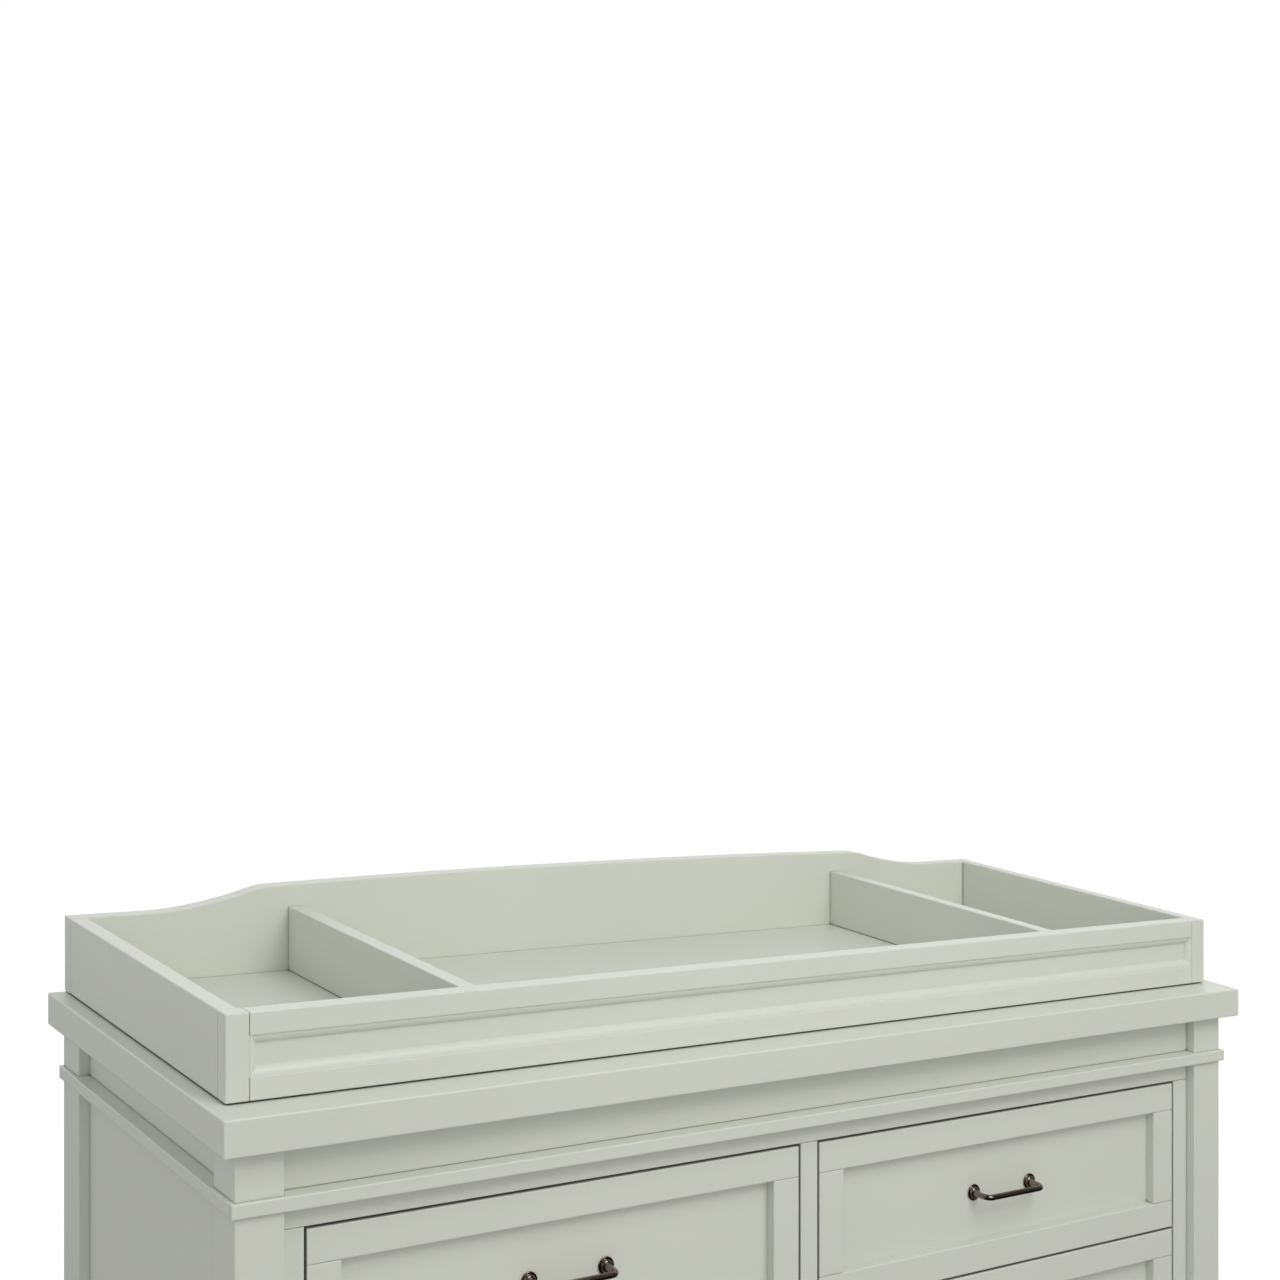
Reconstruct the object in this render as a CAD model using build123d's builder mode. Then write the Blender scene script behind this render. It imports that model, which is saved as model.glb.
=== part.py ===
"""Nursery changing table: a six-drawer dresser with a lift-off changing tray on its top.

The frame: origin on the floor under the middle of the top board, +X along the width, the
front faces -Y, +Z up. Millimetres. Boards that are glued together are kept a hair apart, so
that each stays a solid of its own and the joint between them reads as a fine line.
"""

import os
from math import cos, radians, sin

from build123d import *

# ---------------------------------------------------------------- driving dimensions
top_width = 1440.0  # the top board, which is the largest board
top_depth = 502.0
top_thickness = 35.5
top_height = 870.0  # floor to the upper face of the top board

post = 50.0  # square corner posts that run down to the floor as legs
post_inset = 18.0  # top board's overhang past the posts, at the front and the sides
recess = 13.0  # frieze, panels and face frame lie this far behind the posts' faces
foot_clearance = 6.0  # height of the glides under the legs

frieze_height = 48.0
board = 18.0  # ordinary board thickness
band_thickness = 14.2  # moulding band between frieze and drawers
band_proud = 5.0
case_bottom = 108.0  # underside of the case; the legs show below it
bottom_rail = 60.0

frame_thickness = 19.0  # face frame around the drawers
frame_top_rail = 23.4
stile_width = 26.0
mullion_width = 24.4

drawer_rows = ("bottom", "middle", "top")
drawer_gap = 3.2  # shadow gap around each drawer front
front_thickness = 20.0
front_rail = 34.5
front_stile = 36.0
panel_recess = 12.5
panel_rabbet = 8.0
box_depth = 398.0
box_height = 146.0
box_side = 12.0
box_base = 5.0
base_groove = 10.0  # height of the base board above the lower edge of the box
slide_thickness = 12.7  # gap each side of a drawer box that a ball slide fills
slide_height = 42.0
slide_length = 380.0
slide_wall = 1.4

pull_centres = 96.0
pull_bar = 7.0
pull_reach = 25.0  # from the panel to the middle of the bar
pull_corner = 9.0
pull_screw = 2.0  # radius
pull_drop = 2.5  # the pulls are this far below the middle of the drawer front
rosette = 20.0
rosette_height = 6.0

back_recess = 14.0
back_thickness = 6.0
back_rail = 22.0
back_rail_height = 60.0

tray_inset = 19.0  # the tray is this much shorter than the top board at each end
tray_front_set_back = 42.0  # bare strip of the top board in front of the tray
tray_height = 86.0
tray_crown = 114.5  # height of the back board at its middle
tray_board = 19.0
tray_corner = 24.0  # width of the corner pieces at the ends of the front board
tray_floor_thickness = 5.5
tray_pad = 1.5  # thickness of the felt pads that the tray stands on
divider_inset = 284.5  # outer face of a divider, from the end of the top board
tray_field = 40.0  # height of the moulded field in the tray's front board
field_depth = 6.7
moulding_width = 8.5
quirk = 1.0  # step from the board's face down to the moulding
bulge = 1.1
divider_drop = 2.0  # the dividers end this far below the tray's rim
pad_radius = 10.0
pad_inset = 60.0
shoulder_inset = 258.0  # where the back board's curve ends, from the end of the top board
shoulder_height = 109.4
turn_inset = 216.0  # the curve's steepest place
turn_height = 100.0
flat_inset = 110.0  # the back board's level ends stop here

bracket_x = 480.0  # the two brackets that tie the tray to the back of the top board
bracket_width = 30.0
bracket_thickness = 2.0
bracket_set_in = 4.5  # depth of the slot, so that the screw heads stay behind the back
bracket_drop = 30.0
bracket_rise = 50.0
bracket_screw = 2.2  # radius of the holes
bracket_round = 5.0
upper_screws = (20.0, 40.0)  # heights above the top board
lower_screw = -18.0  # left empty while the tray is free to lift off

anchor_width = 50.0  # anti-tip anchor on the back
anchor_height = 35.0
anchor_metal = 2.5
anchor_round = 4.0
anchor_hole = 3.0  # radius
anchor_hole_out = 5.5  # from the plate to the middle of the hole
anchor_screw = 2.25  # radius of the screw holes
anchor_screw_x = 15.0
anchor_drop = 45.0  # upper face of the tab, below the top board

pan_radius = 4.0  # every screw's head
glide_radius = 14.0
cleat_height = 60.0

glue = 0.1  # hair's breadth between glued boards
running = 0.4  # clearance between pieces that move past each other
joint = 0.4  # open joints that show as a fine dark line
end_joint = 0.9  # the same, where the tray's end boards meet its front and back
ease = 1.0  # rounding of ordinary board edges
fine_ease = 0.6
top_ease = 1.6

# ---------------------------------------------------------------- places worked out from them
half_width, half_depth = top_width / 2, top_depth / 2
case_top = top_height - top_thickness
band_top = case_top - frieze_height
band_bottom = band_top - band_thickness

post_x = half_width - post_inset  # outer side faces of the posts
post_front = -half_depth + post_inset
post_back = half_depth
inner_x = post_x - post
face_y = post_front + recess  # front plane of the face frame and the drawer fronts
frame_back = face_y + frame_thickness
back_inner = half_depth - back_recess - back_thickness

opening_top = band_bottom - frame_top_rail
opening_bottom = case_bottom + bottom_rail
pitch = (opening_top - opening_bottom - drawer_gap) / len(drawer_rows)
opening_x0 = mullion_width / 2
opening_x1 = inner_x - stile_width
opening_mid = (opening_x0 + opening_x1) / 2

front_width = opening_x1 - opening_x0 - 2 * drawer_gap
front_height = pitch - drawer_gap
front_back_y = face_y + front_thickness
panel_y = face_y + panel_recess
box_width = opening_x1 - opening_x0 - 2 * slide_thickness
slide_z = pitch / 2  # middle of the slides above the bottom of each opening
cleat_back = back_inner - back_rail - glue

tray_x = half_width - tray_inset
tray_y0 = -half_depth + tray_front_set_back
tray_z0 = top_height + tray_pad
tray_z1 = top_height + tray_height
tray_floor_top = tray_z0 + tray_floor_thickness
divider_x = half_width - divider_inset

os.makedirs("parts", exist_ok=True)


def block(x0, x1, y0, y1, z0, z1, mode=Mode.ADD):
    """A squared block between two corners, in the part that is being built."""
    with Locations(((x0 + x1) / 2, (y0 + y1) / 2, (z0 + z1) / 2)):
        Box(abs(x1 - x0), abs(y1 - y0), abs(z1 - z0), mode=mode)


def eased_board(x0, x1, y0, y1, z0, z1, radius=ease):
    """A board between two corners, with every edge eased by sandpaper."""
    with BuildPart() as piece:
        block(x0, x1, y0, y1, z0, z1)
        fillet(piece.edges(), radius)
    return piece.part


def save(part, name):
    """Label a finished piece and write it to its own file."""
    part.label = name
    export_step(part, f"parts/{name}.step")


# ---------------------------------------------------------------- top board
with BuildPart() as top_panel:
    block(-half_width, half_width, -half_depth, half_depth, case_top, top_height)
    fillet(top_panel.edges().filter_by(Axis.Z), ease)
    fillet(top_panel.faces().sort_by(Axis.Z)[-1].edges(), top_ease)
    fillet(top_panel.faces().sort_by(Axis.Z)[0].edges(), ease)
    for x in (-bracket_x, bracket_x):
        half_slot = bracket_width / 2 + running
        block(x - half_slot, x + half_slot, half_depth - bracket_set_in, half_depth + 1,
              top_height - bracket_drop - running, top_height + 1, mode=Mode.SUBTRACT)
save(top_panel.part, "top_panel")

# ---------------------------------------------------------------- corner posts
for side, x in (("left", -post_x), ("right", inner_x)):
    for end, y in (("front", post_front), ("back", post_back - post)):
        leg = eased_board(x, x + post, y, y + post, foot_clearance, case_top - glue)
        save(leg, f"post_{end}_{side}")

with BuildPart() as foot_glides:
    for x in (-post_x + post / 2, post_x - post / 2):
        for y in (post_front + post / 2, post_back - post / 2):
            with Locations((x, y, 0)):
                Cylinder(glide_radius, foot_clearance - glue, align=(Align.CENTER, Align.CENTER, Align.MIN))
    fillet(foot_glides.faces().group_by(Axis.Z)[0].edges(), 1.5)
save(foot_glides.part, "foot_glides")

# ---------------------------------------------------------------- frieze and moulding band
front_reach = inner_x - glue
frieze_z = (band_top + glue, case_top - glue)
side_y = (post_front + post + glue, post_back - post - glue)
save(eased_board(-front_reach, front_reach, face_y, face_y + board, *frieze_z, fine_ease),
     "frieze_front")

with BuildPart() as frieze_sides:
    for sign in (-1, 1):
        outer = sign * (post_x - recess)
        block(outer, outer - sign * board, *side_y, *frieze_z)
    fillet(frieze_sides.edges(), fine_ease)
save(frieze_sides.part, "frieze_sides")

# The front band is one board, notched around the front posts; the side bands butt behind it.
band_z = (band_bottom + glue, band_top)
band_x = post_x + band_proud
with BuildPart() as band_front:
    block(-band_x, band_x, post_front - band_proud, post_front - glue, *band_z)
    block(-front_reach, front_reach, post_front - 2 * glue, frame_back, *band_z)
    fillet(band_front.edges().filter_by(Axis.X), ease)
    fillet(band_front.faces().sort_by(Axis.Y)[0].edges().filter_by(Axis.Z), ease)
save(band_front.part, "band_front")

with BuildPart() as band_sides:
    for sign in (-1, 1):
        block(sign * band_x, sign * (post_x + glue), post_front, post_back, *band_z)
        block(sign * (post_x + 2 * glue), sign * (post_x - recess - board), *side_y, *band_z)
    fillet(band_sides.edges().filter_by(Axis.Y), fine_ease)
save(band_sides.part, "band_sides")

# ---------------------------------------------------------------- side panels
for side, sign in (("left", -1), ("right", 1)):
    outer = sign * (post_x - recess)
    panel = eased_board(*sorted((outer, outer - sign * board)), *side_y, case_bottom,
                        band_bottom - glue, fine_ease)
    save(panel, f"side_panel_{side}")

# ---------------------------------------------------------------- face frame
frame_y = (face_y, frame_back)
save(eased_board(-front_reach, front_reach, *frame_y, opening_top, band_bottom - glue, fine_ease),
     "face_top_rail")
save(eased_board(-front_reach, front_reach, *frame_y, case_bottom, opening_bottom, ease),
     "face_bottom_rail")
upright_z = (opening_bottom + joint, opening_top - joint)
save(eased_board(-front_reach, -opening_x1, *frame_y, *upright_z, fine_ease), "face_stile_left")
save(eased_board(opening_x1, front_reach, *frame_y, *upright_z, fine_ease), "face_stile_right")
save(eased_board(-opening_x0, opening_x0, *frame_y, *upright_z, fine_ease), "face_mullion")

# ---------------------------------------------------------------- inside of the case
inner_front = frame_back + glue
with BuildPart() as bottom_panel:
    block(-front_reach, front_reach, inner_front, cleat_back, opening_bottom - board, opening_bottom)
save(bottom_panel.part, "bottom_panel")

with BuildPart() as center_partition:
    block(-opening_x0, opening_x0, inner_front, cleat_back, opening_bottom + glue, case_top - glue)
save(center_partition.part, "center_partition")

with BuildPart() as back_rails:
    for z in (case_bottom, case_top - glue - back_rail_height):
        block(-front_reach, front_reach, cleat_back + glue, back_inner - glue, z, z + back_rail_height)
    fillet(back_rails.edges().filter_by(Axis.X), ease)
save(back_rails.part, "back_rails")

with BuildPart() as back_panel:
    block(-front_reach, front_reach, back_inner, back_inner + back_thickness, case_bottom,
          case_top - glue)
save(back_panel.part, "back_panel")

row_z = [opening_bottom + drawer_gap / 2 + pitch * row for row in range(len(drawer_rows))]
with BuildPart() as slide_cleats:
    for sign in (-1, 1):
        for z in row_z:
            middle = z + slide_z
            block(sign * opening_x1, sign * (inner_x - glue), inner_front, cleat_back,
                  middle - cleat_height / 2, middle + cleat_height / 2)
    fillet(slide_cleats.edges().filter_by(Axis.Y), ease)
save(slide_cleats.part, "slide_cleats")


# ---------------------------------------------------------------- drawer slides
def channel(wall_x, out, middle_z, y, height, depth, wall, length):
    """A steel channel along Y, its web against wall_x and its lips reaching towards out."""
    web, lip = wall_x + out * wall, wall_x + out * depth
    low, high = middle_z - height / 2, middle_z + height / 2
    with BuildSketch(Plane.XZ.offset(-y)) as section:
        with BuildLine():
            Polyline((wall_x, low), (lip, low), (lip, low + wall), (web, low + wall),
                     (web, high - wall), (lip, high - wall), (lip, high), (wall_x, high),
                     close=True)
        make_face()
    extrude(section.sketch, amount=-length)


slide_y = inner_front + 3.0
outer_depth, inner_depth = 9.0, 8.0
inner_height = slide_height - 2 * slide_wall - 5.0
with BuildPart() as cabinet_slides:
    for z in row_z:
        for side in (-1, 1):
            channel(side * (opening_x1 - glue), -side, z + slide_z, slide_y, slide_height,
                    outer_depth, slide_wall, slide_length)
            channel(side * (opening_x0 + glue), side, z + slide_z, slide_y, slide_height,
                    outer_depth, slide_wall, slide_length)
save(cabinet_slides.part, "cabinet_slides")

# ---------------------------------------------------------------- anti-tip anchor on the back
anchor_z = case_top - anchor_drop
back_face = back_inner + back_thickness
tab_y1 = half_depth - 0.5
anchor_hole_y = back_face + anchor_metal + anchor_hole_out
anchor_screw_z = anchor_z + anchor_height / 2 - 2

with BuildPart() as wall_anchor:
    block(-anchor_width / 2, anchor_width / 2, back_face + glue, back_face + anchor_metal,
          anchor_z - anchor_metal, anchor_z - anchor_metal + anchor_height)
    block(-anchor_width / 2, anchor_width / 2, back_face + glue, tab_y1,
          anchor_z - anchor_metal, anchor_z)
    fillet(wall_anchor.faces().sort_by(Axis.Y)[-1].edges().filter_by(Axis.Z), anchor_round)
    fillet(wall_anchor.faces().sort_by(Axis.Z)[-1].edges().filter_by(Axis.Y), anchor_round)
    with Locations((0, anchor_hole_y, anchor_z)):
        Hole(anchor_hole)
    with BuildSketch(Plane.XZ.offset(-back_face - anchor_metal)):
        with Locations((-anchor_screw_x, anchor_screw_z), (anchor_screw_x, anchor_screw_z)):
            Circle(anchor_screw)
    extrude(amount=anchor_metal + 1, mode=Mode.SUBTRACT)
save(wall_anchor.part, "wall_anchor")


def pan_head_screw(x, seat_y, z, radius, length, head_height):
    """A screw along Y, its shank running forward from the seat and its head behind it."""
    side_height = head_height * 0.4
    with BuildPart() as screw:
        with BuildSketch(Plane(origin=(x, seat_y, z), x_dir=(1, 0, 0), z_dir=(0, 0, 1))):
            with BuildLine():
                Polyline((0, head_height), (0, -length), (radius / 2, -length),
                         (radius, -length + min(2 * radius, length / 2)), (radius, 0),
                         (pan_radius, 0), (pan_radius, side_height))
                TangentArc((0, head_height), (pan_radius, side_height), tangent=(1, 0))
            make_face()
        revolve(axis=Axis((x, 0, z), (0, 1, 0)))
    return screw.part.solid()


anchor_screws = [
    pan_head_screw(x, back_face + anchor_metal + glue, anchor_screw_z, anchor_screw - running / 2,
                   anchor_metal - 0.3, 2.4)
    for x in (-anchor_screw_x, anchor_screw_x)
]
save(Compound(anchor_screws), "wall_anchor_screws")


# ---------------------------------------------------------------- drawers
def screw_places(x, z):
    """The two screws of a drawer's pull, across and up, for the drawer at x and z."""
    height = z + pitch / 2 - pull_drop
    return [(x - pull_centres / 2, height), (x + pull_centres / 2, height)]


def drawer_front(x, z):
    """A framed front: two rails, two stiles between them, and a panel let in from the back."""
    x0, x1 = x - front_width / 2, x + front_width / 2
    z0, z1 = z + drawer_gap / 2, z + drawer_gap / 2 + front_height
    low, high = z0 + front_rail, z1 - front_rail
    left, right = x0 + front_stile, x1 - front_stile
    depth = (face_y, front_back_y)
    with BuildPart() as frame:
        block(x0, x1, *depth, z0, low)
        block(x0, x1, *depth, high, z1)
        block(x0, left, *depth, low + joint, high - joint)
        block(right, x1, *depth, low + joint, high - joint)
        fillet(frame.edges(), fine_ease)
        block(left - panel_rabbet, right + panel_rabbet, panel_y - glue, front_back_y + 1,
              low - panel_rabbet, high + panel_rabbet, mode=Mode.SUBTRACT)
    with BuildPart() as panel:
        inset = panel_rabbet - glue
        block(left - inset, right + inset, panel_y, front_back_y - glue, low - inset, high + inset)
        with BuildSketch(Plane.XZ.offset(-panel_y)):
            with Locations(*screw_places(x, z)):
                Circle(pull_screw + running / 2)
        extrude(amount=-front_thickness, mode=Mode.SUBTRACT)
    return Compound([*frame.part.solids(), panel.part.solid()])


def drawer_box(x, z):
    """Four boards and a base let into them, behind the front."""
    x0, x1 = x - box_width / 2, x + box_width / 2
    y0, y1 = front_back_y + glue, front_back_y + box_depth
    z0 = z + (pitch - box_height) / 2
    z1 = z0 + box_height
    inner = (x0 + box_side, x1 - box_side)
    with BuildPart() as box:
        block(x0, x0 + box_side, y0, y1, z0, z1)
        block(x1 - box_side, x1, y0, y1, z0, z1)
        block(inner[0] + glue, inner[1] - glue, y0, y0 + box_side, z0, z1)
        block(inner[0] + glue, inner[1] - glue, y1 - box_side, y1, z0, z1)
        fillet(box.edges(), fine_ease)
        with BuildSketch(Plane.XZ.offset(-y0)):
            with Locations(*screw_places(x, z)):
                Circle(pull_screw + running / 2)
        extrude(amount=-box_side, mode=Mode.SUBTRACT)
        block(inner[0] + glue, inner[1] - glue, y0 + box_side + glue, y1 - box_side - glue,
              z0 + base_groove, z0 + base_groove + box_base)
    return box.part


def drawer_slides(x, z):
    """The inner member of each slide, screwed to the side of the box."""
    with BuildPart() as pair:
        for side in (-1, 1):
            channel(x + side * (box_width / 2 + glue), side, z + slide_z, slide_y, inner_height,
                    inner_depth, slide_wall, slide_length)
    return pair.part


def drawer_pull(x, z):
    """An arched bar pull on two turned rosettes, held by a screw through the front at each end."""
    ends = [place[0] for place in screw_places(x, z)]
    z = screw_places(x, z)[0][1]
    start_y, bar_y = panel_y - rosette_height, panel_y - pull_reach
    edge, collar, top = rosette / 2, 4.4, rosette_height - 0.2
    with BuildPart() as pull:
        with BuildLine() as arch:
            FilletPolyline((ends[0], start_y, z), (ends[0], bar_y, z), (ends[1], bar_y, z),
                           (ends[1], start_y, z), radius=pull_corner)
        with BuildSketch(Plane(origin=arch.line @ 0, z_dir=arch.line % 0)):
            Circle(pull_bar / 2)
        sweep(path=arch.line)
    pieces = [pull.part.solid()]
    for end in ends:
        with BuildPart() as foot:
            section = Plane(origin=(end, panel_y - glue, z), x_dir=(1, 0, 0), z_dir=(0, 0, -1))
            with BuildSketch(section):
                with BuildLine():
                    Polyline((0, 0), (edge, 0), (edge, 1.4))
                    ThreePointArc((edge, 1.4), (edge - 0.7, 2.3), (edge - 1.8, 2.4))
                    Line((edge - 1.8, 2.4), (edge - 2.2, 2.4))
                    ThreePointArc((edge - 2.2, 2.4), (edge - 3.6, 4.7), (collar, top))
                    Polyline((collar, top), (0, top), (0, 0))
                make_face()
            revolve(axis=Axis((end, 0, z), (0, 1, 0)))
        pieces.append(foot.part.solid())
        pieces.append(pan_head_screw(end, front_back_y + box_side + 2 * glue, z, pull_screw,
                                     box_side + front_back_y - panel_y - 0.5, 2.6))
    return Compound(pieces)


for row, z in zip(drawer_rows, row_z):
    for side, x in (("left", -opening_mid), ("right", opening_mid)):
        name = f"drawer_{row}_{side}"
        save(drawer_front(x, z), f"{name}_front")
        save(drawer_box(x, z), f"{name}_box")
        save(drawer_slides(x, z), f"{name}_slides")
        save(drawer_pull(x, z), f"{name}_pull")

# ---------------------------------------------------------------- changing tray: front
tray_front_y = (tray_y0, tray_y0 + tray_board)
front_end = tray_x - tray_corner - joint
field_z0 = tray_z0 + (tray_height - tray_pad - tray_field) / 2
field_z1 = field_z0 + tray_field

with BuildPart() as tray_front_board:
    block(-front_end, front_end, *tray_front_y, tray_z0, tray_z1)
    fillet(tray_front_board.edges(), ease)
    block(-front_end - 1, front_end + 1, tray_y0 - 1, tray_y0 + field_depth, field_z0, field_z1,
          mode=Mode.SUBTRACT)

# The moulding is a rounded strip, mitred around the field. It covers the joints at its ends.
ring_x, ring_z0, ring_z1 = tray_x - tray_corner - glue, field_z0 + glue, field_z1 - glue
ring_back = tray_y0 + field_depth - glue
with BuildPart() as tray_moulding:
    with BuildLine(Plane.XZ.offset(-ring_back)) as edge:
        Polyline((0, ring_z0), (ring_x, ring_z0), (ring_x, ring_z1), (-ring_x, ring_z1),
                 (-ring_x, ring_z0), close=True)
    with BuildSketch(Plane(origin=(0, ring_back, ring_z0), x_dir=(0, 0, 1), z_dir=(1, 0, 0))):
        rise = field_depth - quirk - glue
        with BuildLine():
            Polyline((0, 0), (0, rise), (0.8, rise))
            SagittaArc((0.8, rise), (moulding_width, 0.4), bulge)
            Polyline((moulding_width, 0.4), (moulding_width, 0), (0, 0))
        make_face()
    sweep(path=edge.line, transition=Transition.RIGHT)
save(Compound([tray_front_board.part.solid(), tray_moulding.part.solid()]), "tray_front")

with BuildPart() as tray_posts:
    for sign in (-1, 1):
        block(sign * tray_x, sign * (tray_x - tray_corner), *tray_front_y, tray_z0, tray_z1)
    fillet(tray_posts.edges(), ease)
save(tray_posts.part, "tray_posts")

# ---------------------------------------------------------------- changing tray: back and ends
tray_back_y = (half_depth - tray_board, half_depth)
flat_end = half_width - flat_inset
turn_x, turn_z = half_width - turn_inset, top_height + turn_height
shoulder_x, shoulder_z = half_width - shoulder_inset, top_height + shoulder_height
crown_z = top_height + tray_crown
shoulder_slope = radians(1.4)
turn_slope = radians(13)

with BuildPart() as tray_back:
    with BuildSketch(Plane.XZ.offset(-tray_back_y[1])):
        with BuildLine():
            Polyline((0, tray_z0), (tray_x, tray_z0), (tray_x, tray_z1), (flat_end, tray_z1))
            Spline((flat_end, tray_z1), (turn_x, turn_z), (shoulder_x, shoulder_z),
                   tangents=((-1, 0), (-cos(turn_slope), sin(turn_slope)),
                             (-cos(shoulder_slope), sin(shoulder_slope))),
                   tangent_scalars=(1, 1, 0.8))
            TangentArc((shoulder_x, shoulder_z), (0, crown_z),
                       tangent=(-cos(shoulder_slope), sin(shoulder_slope)))
            Line((0, crown_z), (0, tray_z0))
        make_face()
        mirror(about=Plane.YZ)
    extrude(amount=tray_board)
    fillet(tray_back.faces().sort_by(Axis.Y)[0].edges(), ease)
    fillet(tray_back.faces().sort_by(Axis.Y)[-1].edges(), ease)
    for x in (-bracket_x, bracket_x):
        half_slot = bracket_width / 2 + running
        block(x - half_slot, x + half_slot, half_depth - bracket_set_in, half_depth + 1,
              tray_z0 - 1, top_height + bracket_rise + running, mode=Mode.SUBTRACT)
save(tray_back.part, "tray_back")

tray_side_y = (tray_front_y[1] + end_joint, tray_back_y[0] - end_joint)
divider_y = (tray_front_y[1] + glue, tray_back_y[0] - glue)
for side, sign in (("left", -1), ("right", 1)):
    ends = sorted((sign * tray_x, sign * (tray_x - tray_board)))
    save(eased_board(*ends, *tray_side_y, tray_z0, tray_z1), f"tray_side_{side}")
    ends = sorted((sign * divider_x, sign * (divider_x - tray_board)))
    divider_z = (tray_floor_top + joint, tray_z1 - divider_drop)
    save(eased_board(*ends, *divider_y, *divider_z), f"tray_divider_{side}")

floor_x = tray_x - tray_board - joint
with BuildPart() as tray_floor:
    block(-floor_x, floor_x, tray_front_y[1] + glue, tray_back_y[0] - joint, tray_z0, tray_floor_top)
save(tray_floor.part, "tray_floor")

# ---------------------------------------------------------------- changing tray: pads and brackets
with BuildPart() as tray_pads:
    pad_x = tray_x - pad_inset
    for x in (-pad_x, 0, pad_x):
        for y in (tray_y0 + pad_inset, half_depth - pad_inset):
            with Locations((x, y, top_height + glue / 2)):
                Cylinder(pad_radius, tray_pad - glue, align=(Align.CENTER, Align.CENTER, Align.MIN))
save(tray_pads.part, "tray_pads")

bracket_y0 = half_depth - bracket_set_in + running
bracket_y1 = bracket_y0 + bracket_thickness
bracket_z = (top_height - bracket_drop, top_height + bracket_rise)
with BuildPart() as tray_brackets:
    for x in (-bracket_x, bracket_x):
        block(x - bracket_width / 2, x + bracket_width / 2, bracket_y0, bracket_y1, *bracket_z)
    fillet(tray_brackets.edges().filter_by(Axis.Y), bracket_round)
    with BuildSketch(Plane.XZ.offset(-bracket_y1)):
        for rise in (*upper_screws, lower_screw):
            with Locations((-bracket_x, top_height + rise), (bracket_x, top_height + rise)):
                Circle(bracket_screw)
    extrude(amount=bracket_thickness + 1, mode=Mode.SUBTRACT)
save(tray_brackets.part, "tray_brackets")

bracket_screws = [
    pan_head_screw(x, bracket_y1 + glue, top_height + rise, bracket_screw - running / 2,
                   bracket_thickness - 0.2, 1.9)
    for x in (-bracket_x, bracket_x)
    for rise in upper_screws
]
save(Compound(bracket_screws), "tray_bracket_screws")
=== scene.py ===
"""Nursery changing table: finishes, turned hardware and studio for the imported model.

Laid out as an add-on: each operator finishes one group of pieces, and main() calls them in order.
Everything is in metres, in the model's own frame: the front faces -Y and the floor is at z = 0.
"""

import math

import bmesh
import bpy
from bpy.props import FloatProperty, FloatVectorProperty, PointerProperty
from mathutils import Matrix, Vector


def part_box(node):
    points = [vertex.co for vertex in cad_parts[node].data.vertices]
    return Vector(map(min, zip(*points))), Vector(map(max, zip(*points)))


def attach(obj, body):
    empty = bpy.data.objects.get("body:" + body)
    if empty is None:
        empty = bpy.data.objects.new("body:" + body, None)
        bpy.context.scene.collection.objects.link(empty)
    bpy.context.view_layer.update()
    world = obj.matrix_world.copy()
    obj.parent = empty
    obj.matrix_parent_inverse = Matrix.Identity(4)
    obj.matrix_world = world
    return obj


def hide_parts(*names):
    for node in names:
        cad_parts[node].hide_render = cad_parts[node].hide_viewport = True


bl_info = {
    "name": "Nursery Changing Table",
    "version": (1, 0, 0),
    "blender": (4, 5, 0),
    "location": "View3D > Sidebar > Changing Table",
    "description": "Finishes the dresser, its drawers and the lift-off changing tray",
    "category": "Object",
}

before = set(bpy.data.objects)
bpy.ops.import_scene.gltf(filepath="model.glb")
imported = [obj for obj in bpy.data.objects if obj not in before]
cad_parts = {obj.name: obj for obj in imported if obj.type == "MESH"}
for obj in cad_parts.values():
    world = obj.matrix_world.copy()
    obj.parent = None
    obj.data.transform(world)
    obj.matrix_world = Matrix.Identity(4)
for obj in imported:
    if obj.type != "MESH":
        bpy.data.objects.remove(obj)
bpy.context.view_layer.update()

ROWS = ("bottom", "middle", "top")
SIDES = ("left", "right")
DRAWERS = [f"drawer_{row}_{side}" for row in ROWS for side in SIDES]
MM = 0.001
LATHE_STEPS = 64


# ---------------------------------------------------------------- settings
class PaintFinish(bpy.types.PropertyGroup):
    """The satin paint on every outside board."""

    colour: FloatVectorProperty(
        name="Paint",
        description="Colour of the satin paint",
        subtype="COLOR",
        size=3,
        min=0.0,
        max=1.0,
        default=(0.685, 0.712, 0.645),
    )
    roughness: FloatProperty(
        name="Roughness",
        description="Roughness of the cured paint",
        min=0.0,
        max=1.0,
        default=0.42,
    )
    spray: FloatProperty(
        name="Spray texture",
        description="Depth of the fine ripple that spraying leaves",
        subtype="DISTANCE",
        unit="LENGTH",
        default=0.00006,
    )
    # Painted shade: how dark the narrow joints and gaps are painted, standing in for the shade in them.
    crevice_shade: FloatProperty(
        name="Crevice shade",
        description="How dark the narrow joints and gaps are",
        subtype="FACTOR",
        min=0.0,
        max=1.0,
        default=0.85,
    )
    # Painted highlight: how far the rounded edges of the paint are lightened towards near-white.
    painted_edge_highlight: FloatProperty(
        name="Edge highlight",
        description="How much the paint thins and pales on the eased edges",
        subtype="FACTOR",
        min=0.0,
        max=1.0,
        default=0.8,
    )


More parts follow.
